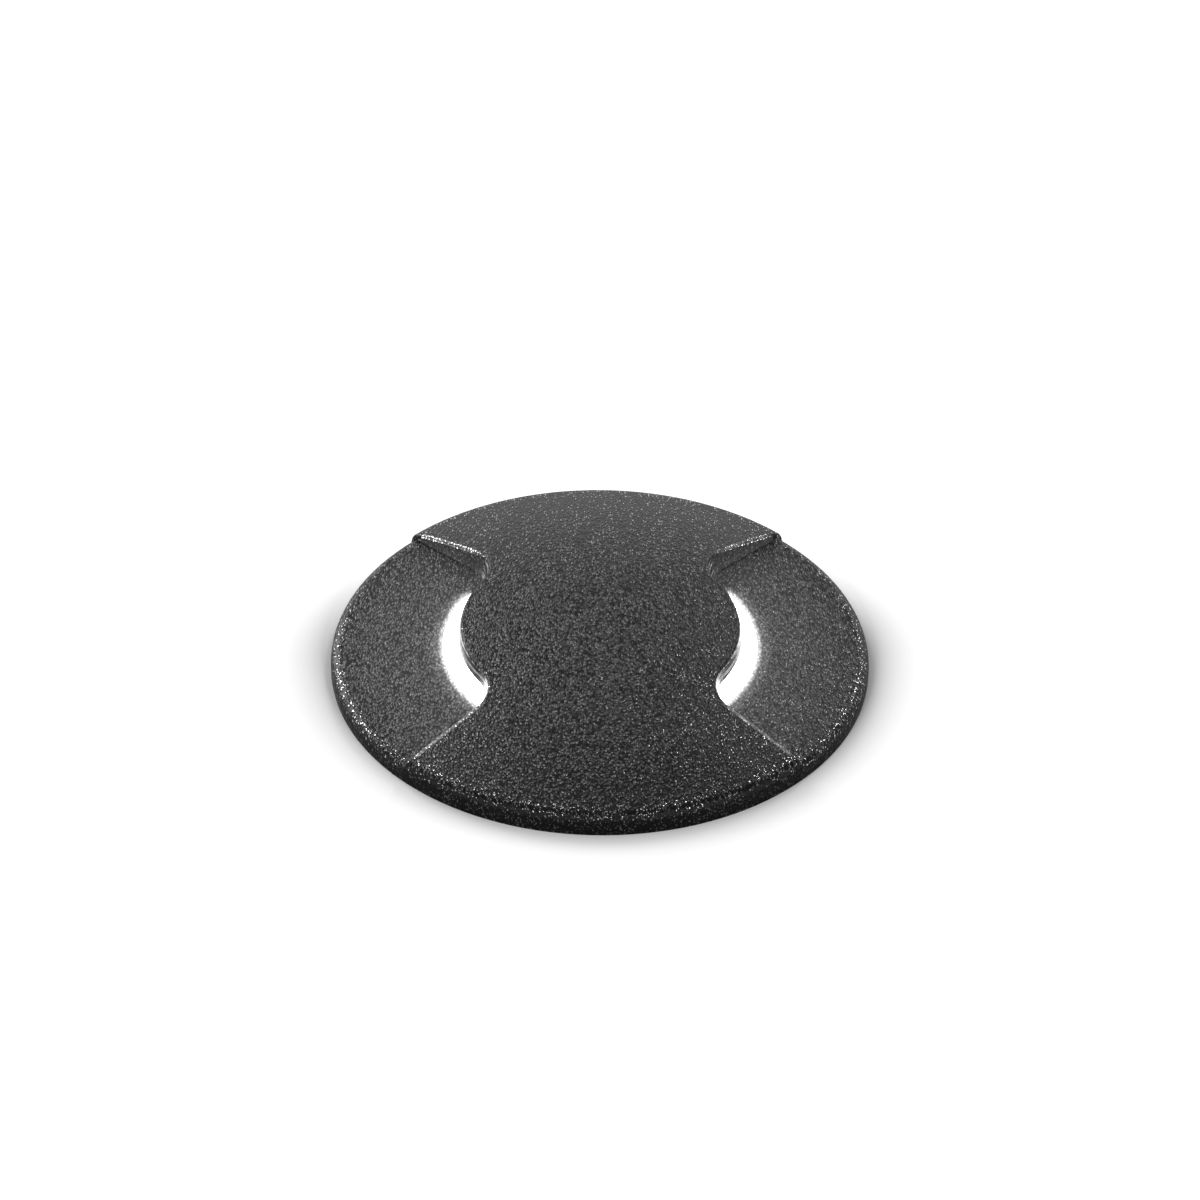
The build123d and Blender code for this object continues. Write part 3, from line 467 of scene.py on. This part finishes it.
finishes = {
    "cover_resin": pebbledResin(),
    "box_plastic": mouldedPlastic(
        "boxPlastic", (0.022, 0.022, 0.023), (0.03, 0.03, 0.031),
        roughness=0.48, fineness=900.0, depth=0.03 * mm, worn=0.5,
    ),
    "housing_resin": mouldedPlastic(
        "housingResin", (0.02, 0.02, 0.022), (0.028, 0.028, 0.03),
        roughness=0.38, fineness=1800.0, depth=0.012 * mm, worn=0.2,
    ),
    "opal_diffuser": litOpal("opalDiffuser", strength=8.0, paintedShadeEnd=True),
    "seal_rubber": mouldedPlastic(
        "sealRubber", (0.016, 0.016, 0.016), (0.024, 0.024, 0.024),
        roughness=0.72, fineness=1400.0, depth=0.02 * mm, worn=0.15,
    ),
    "holder_white": mouldedPlastic(
        "holderWhite", (0.82, 0.82, 0.8), (0.78, 0.78, 0.75), roughness=0.3
    ),
    "contact_brass": bareMetal(
        "contactBrass", (0.78, 0.6, 0.3), (0.55, 0.38, 0.17), roughness=0.25
    ),
    "screw_steel": bareMetal(
        "screwSteel", (0.62, 0.62, 0.61), (0.5, 0.5, 0.48), roughness=0.32
    ),
    "terminal_plastic": mouldedPlastic(
        "terminalNylon", (0.75, 0.74, 0.68), (0.68, 0.66, 0.58), roughness=0.42
    ),
    "wire_brown": mouldedPlastic(
        "wireBrown", (0.18, 0.07, 0.03), (0.14, 0.05, 0.02),
        roughness=0.42, fineness=1200.0, depth=0.02 * mm,
    ),
    "wire_blue": mouldedPlastic(
        "wireBlue", (0.04, 0.12, 0.45), (0.03, 0.09, 0.36),
        roughness=0.42, fineness=1200.0, depth=0.02 * mm,
    ),
    "gland_plastic": mouldedPlastic(
        "glandNylon", (0.024, 0.024, 0.024), (0.034, 0.034, 0.034),
        roughness=0.4, fineness=1600.0, depth=0.012 * mm, worn=0.15,
    ),
    "lamp_white": mouldedPlastic(
        "lampWhite", (0.85, 0.85, 0.84), (0.8, 0.8, 0.78), roughness=0.28
    ),
    "circuit_board": mouldedPlastic(
        "circuitBoard", (0.05, 0.22, 0.1), (0.035, 0.16, 0.07),
        roughness=0.3, fineness=700.0, depth=0.03 * mm,
    ),
    "driver_parts": mouldedPlastic(
        "driverParts", (0.08, 0.08, 0.09), (0.05, 0.05, 0.06), roughness=0.4
    ),
    "heat_aluminium": bareMetal(
        "heatAluminium", (0.75, 0.76, 0.77), (0.66, 0.67, 0.68), roughness=0.3
    ),
    "led_board_white": mouldedPlastic(
        "ledBoardWhite", (0.88, 0.88, 0.87), (0.83, 0.83, 0.8), roughness=0.35
    ),
    "led_phosphor": mouldedPlastic(
        "ledPhosphor", (0.9, 0.78, 0.25), (0.84, 0.7, 0.18), roughness=0.25
    ),
    "lamp_front_opal": litOpal("lampFrontOpal", strength=2.0),
}
for part in frame["record"]["subparts"]:
    for slot in nodes[part["node"]].material_slots:
        slot.material = finishes[part["material_slot"]]
print("finishes set on", len(nodes), "nodes")


# thread ridges on the neck: three starts, each a screwed profile
neckThread = {
    "starts": 3,
    "lead": 12.0 * mm,
    "rootRadius": 44.72 * mm,
    "crestRadius": 45.6 * mm,
    "rootWidth": 1.8 * mm,
    "crestWidth": 0.8 * mm,
    "bottom": -9.9 * mm,
    "rise": 7.0 * mm,
    "stepsPerTurn": 96,
    "merge": 1e-6,
    "smoothAngle": math.radians(35),
}


def threadRidges(name, spec, body, slotName):
    deselectAll()
    depth = spec["crestRadius"] - spec["rootRadius"]
    middle = (spec["crestRadius"] + spec["rootRadius"]) / 2
    place, turned = (middle, 0, spec["bottom"]), (math.pi / 2, 0, 0)
    bpy.ops.mesh.primitive_plane_add(size=1, location=place, rotation=turned)
    ridge = bpy.context.object
    ridge.name = ridge.data.name = name
    ridge.scale = (depth, spec["rootWidth"], 1)
    bpy.ops.object.transform_apply(location=True, rotation=True, scale=True)
    crest = spec["crestWidth"] / spec["rootWidth"]
    bpy.ops.object.mode_set(mode="EDIT")
    bpy.ops.mesh.select_all(action="DESELECT")
    bpy.ops.object.mode_set(mode="OBJECT")
    for vertex in ridge.data.vertices:
        vertex.select = abs(vertex.co.x - spec["crestRadius"]) < depth / 4
    bpy.ops.object.mode_set(mode="EDIT")
    crestPoint = (spec["crestRadius"], 0, spec["bottom"])
    bpy.ops.transform.resize(value=(1, 1, crest), center_override=crestPoint)
    bpy.ops.mesh.select_all(action="SELECT")
    bpy.ops.mesh.delete(type="ONLY_FACE")
    bpy.ops.object.mode_set(mode="OBJECT")
    turn = spec["rise"] / spec["lead"] * 2 * math.pi
    screw = ridge.modifiers.new("screw", "SCREW")
    screw.angle = turn
    screw.screw_offset = spec["rise"]
    screw.steps = screw.render_steps = round(spec["stepsPerTurn"] * turn / (2 * math.pi))
    screw.use_normal_calculate = True
    bpy.ops.object.modifier_apply(modifier=screw.name)
    bpy.ops.object.mode_set(mode="EDIT")
    bpy.ops.mesh.select_mode(type="VERT")
    bpy.ops.mesh.select_all(action="DESELECT")
    bpy.ops.mesh.select_non_manifold()
    bpy.ops.mesh.edge_face_add()
    bpy.ops.mesh.select_all(action="SELECT")
    bpy.ops.mesh.remove_doubles(threshold=spec["merge"])
    bpy.ops.mesh.normals_make_consistent(inside=False)
    step = 2 * math.pi / spec["starts"]
    for _ in range(1, spec["starts"]):
        bpy.ops.mesh.duplicate()
        bpy.ops.transform.rotate(value=step, orient_axis="Z", center_override=(0, 0, 0))
    bpy.ops.object.mode_set(mode="OBJECT")
    bpy.ops.object.shade_smooth_by_angle(angle=spec["smoothAngle"])
    ridge.data.materials.append(finishes[slotName])
    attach(ridge, body)


threadRidges("neck_thread", neckThread, "luminaire", "housing_resin")
print("thread ridges made")


# ground: a white sheet with a hole for the recess box
ground = {
    "rings": (52.5 * mm, 0.12, 0.3, 1.0, 4.0),
    "corners": 160,
    "colour": (0.6, 0.6, 0.6),
    "mirrored": (0.2, 0.4),  # tone that the glossy cover sees, in front and behind
    "mirroredFade": (-0.06, 0.02),
    "ownWhite": 0.6,
    "farWhite": (0.25, 1.2, 0.3),  # from, to and the white added towards the horizon
    "paintedShadow": {  # painted shadow: the floor's own white dimmed close to the rim
        "centre": 5.5 * mm,
        "start": 62.0 * mm,
        "reach": 8.0 * mm,
        "depth": 0.64,
        "fade": (0.0, 0.05),
    },
}


def makeGround():
    deselectAll()
    corners, hole = ground["corners"], ground["rings"][0]
    bpy.ops.mesh.primitive_circle_add(vertices=corners, radius=hole, fill_type="NOTHING")
    sheet = bpy.context.object
    sheet.name = "ground"
    bpy.ops.object.mode_set(mode="EDIT")
    bpy.ops.mesh.select_all(action="SELECT")
    for inner, outer in zip(ground["rings"], ground["rings"][1:]):
        grow = outer / inner
        bpy.ops.mesh.extrude_region()
        bpy.ops.transform.resize(value=(grow, grow, 1), center_override=(0, 0, 0))
    bpy.ops.mesh.select_all(action="SELECT")
    bpy.ops.mesh.normals_make_consistent(inside=False)
    bpy.ops.object.mode_set(mode="OBJECT")
    plain = {"Emission_Color": (1.0, 1.0, 1.0), "Roughness": 1.0, "Specular_IOR_Level": 0.0}
    material, tree, shader, place = startMaterial("groundWhite", **plain)
    rays = tree.nodes.new("ShaderNodeLightPath").outputs
    axes = tree.nodes.new("ShaderNodeSeparateXYZ")
    link(tree, place, axes.inputs[0])
    mirrored = remap(tree, axes.outputs["Y"], *ground["mirroredFade"], *ground["mirrored"])
    tone = blendColour(tree, rays["Is Glossy Ray"], (*ground["colour"], 1), mirrored)
    link(tree, tone, shader.inputs["Base Color"])
    paintedShadow = ground["paintedShadow"]
    away = vectorCalc(tree, "SUBTRACT", place, (0, paintedShadow["centre"], 0))
    away = vectorCalc(tree, "LENGTH", away)
    away = calc(tree, "MAXIMUM", calc(tree, "SUBTRACT", away, paintedShadow["start"]), 0.0)
    # painted shadow, fading out towards the back
    dim = calc(tree, "EXPONENT", calc(tree, "DIVIDE", away, -paintedShadow["reach"]))
    dim = calc(tree, "MULTIPLY", dim, remap(tree, axes.outputs["Y"], *paintedShadow["fade"], paintedShadow["depth"], 0.0))
    start, end, added = ground["farWhite"]
    white = remap(tree, away, start, end, ground["ownWhite"], ground["ownWhite"] + added)
    own = calc(tree, "SUBTRACT", white, dim)
    link(tree, calc(tree, "MULTIPLY", rays["Is Camera Ray"], own), shader.inputs["Emission Strength"])
    clear = tree.nodes.new("ShaderNodeBsdfTransparent")
    chooser = tree.nodes.new("ShaderNodeMixShader")
    link(tree, tree.nodes.new("ShaderNodeNewGeometry").outputs["Backfacing"], chooser.inputs[0])
    link(tree, shader.outputs[0], chooser.inputs[1])
    link(tree, clear.outputs[0], chooser.inputs[2])
    link(tree, chooser.outputs[0], tree.nodes["Material Output"].inputs["Surface"])
    sheet.data.materials.append(material)


makeGround()

# studio: white surroundings and soft boxes all round
studio = {
    "ambient": 0.4,
    "horizon": 1.4,
    "zenith": 0.04,
    "fade": (0.1, 0.7),  # by the sine of the elevation
    "frontShade": 0.7,  # behind the viewer
    "frontFade": (-0.8, -0.1),
    "boxDistance": 1.4,
}
softBoxes = {
    "leftBox": {"azimuth": 211, "elevation": 46, "size": (0.12, 0.75), "power": 2.4, "lean": -18},
    "sideBox": {"azimuth": 222, "elevation": 28, "size": (0.6, 0.9), "power": 10.5, "lean": 0},
    "rightBox": {"azimuth": 148, "elevation": 43, "size": (0.16, 0.5), "power": 4.0, "lean": 18},
    "frontLeftBox": {"azimuth": 325, "elevation": 40, "size": (0.35, 0.35), "power": 2.4, "lean": 0},
    "frontRightBox": {"azimuth": 35, "elevation": 40, "size": (0.35, 0.35), "power": 2.4, "lean": 0},
    "topBox": {"azimuth": 190, "elevation": 78, "size": (0.3, 0.15), "power": 0.6, "lean": 0},
}


def makeStudio():
    world = bpy.data.worlds.new("studio")
    world.use_nodes = True
    bpy.context.scene.world = world
    tree = world.node_tree
    rays = tree.nodes.new("ShaderNodeLightPath").outputs
    axes = tree.nodes.new("ShaderNodeSeparateXYZ")
    link(tree, tree.nodes.new("ShaderNodeTexCoord").outputs["Generated"], axes.inputs[0])
    mirrored = remap(tree, axes.outputs["Z"], *studio["fade"], studio["horizon"], studio["zenith"])
    front = remap(tree, axes.outputs["Y"], *studio["frontFade"], studio["frontShade"])
    mirrored = calc(tree, "MULTIPLY", mirrored, front)
    level = remap(tree, rays["Is Glossy Ray"], 0, 1, studio["ambient"], mirrored)
    seen = calc(tree, "MAXIMUM", rays["Is Camera Ray"], rays["Is Transmission Ray"])
    level = remap(tree, seen, 0, 1, level, 1.0)
    background = tree.nodes["Background"]
    background.inputs["Color"].default_value = (1, 1, 1, 1)
    link(tree, level, background.inputs["Strength"])
    for name, box in softBoxes.items():
        deselectAll()
        place = pointFrom(box["azimuth"], box["elevation"], studio["boxDistance"])
        bpy.ops.object.light_add(type="AREA", location=place)
        lamp = bpy.context.object
        lamp.name = name
        lamp.data.shape = "RECTANGLE"
        lamp.data.size, lamp.data.size_y = box["size"]
        lamp.data.energy = box["power"]
        facing = lamp.location.to_track_quat("Z", "Y")
        lamp.rotation_euler = (facing @ Quaternion((0, 0, 1), math.radians(box["lean"]))).to_euler()


makeStudio()
print("studio set")

# camera at the photo's angle
shot = {
    "azimuth": -1.37,
    "elevation": 37.93,
    "distance": 836.5 * mm,
    "lens": 112.2,
    "aim": Vector((0.08, 8.31, 10.66)) * mm,
    "roll": 0.59,
    "near": 0.01,
}


def makeCamera():
    deselectAll()
    bpy.ops.object.camera_add(location=pointFrom(shot["azimuth"], shot["elevation"], shot["distance"]))
    camera = bpy.context.object
    camera.data.lens = shot["lens"]
    camera.data.clip_start = shot["near"]
    level = (camera.location - shot["aim"]).to_track_quat("Z", "Y")
    camera.rotation_euler = (level @ Quaternion((0, 0, 1), math.radians(shot["roll"]))).to_euler()
    bpy.context.scene.camera = camera


makeCamera()
bpy.context.scene.view_settings.view_transform = "Standard"

print("done")
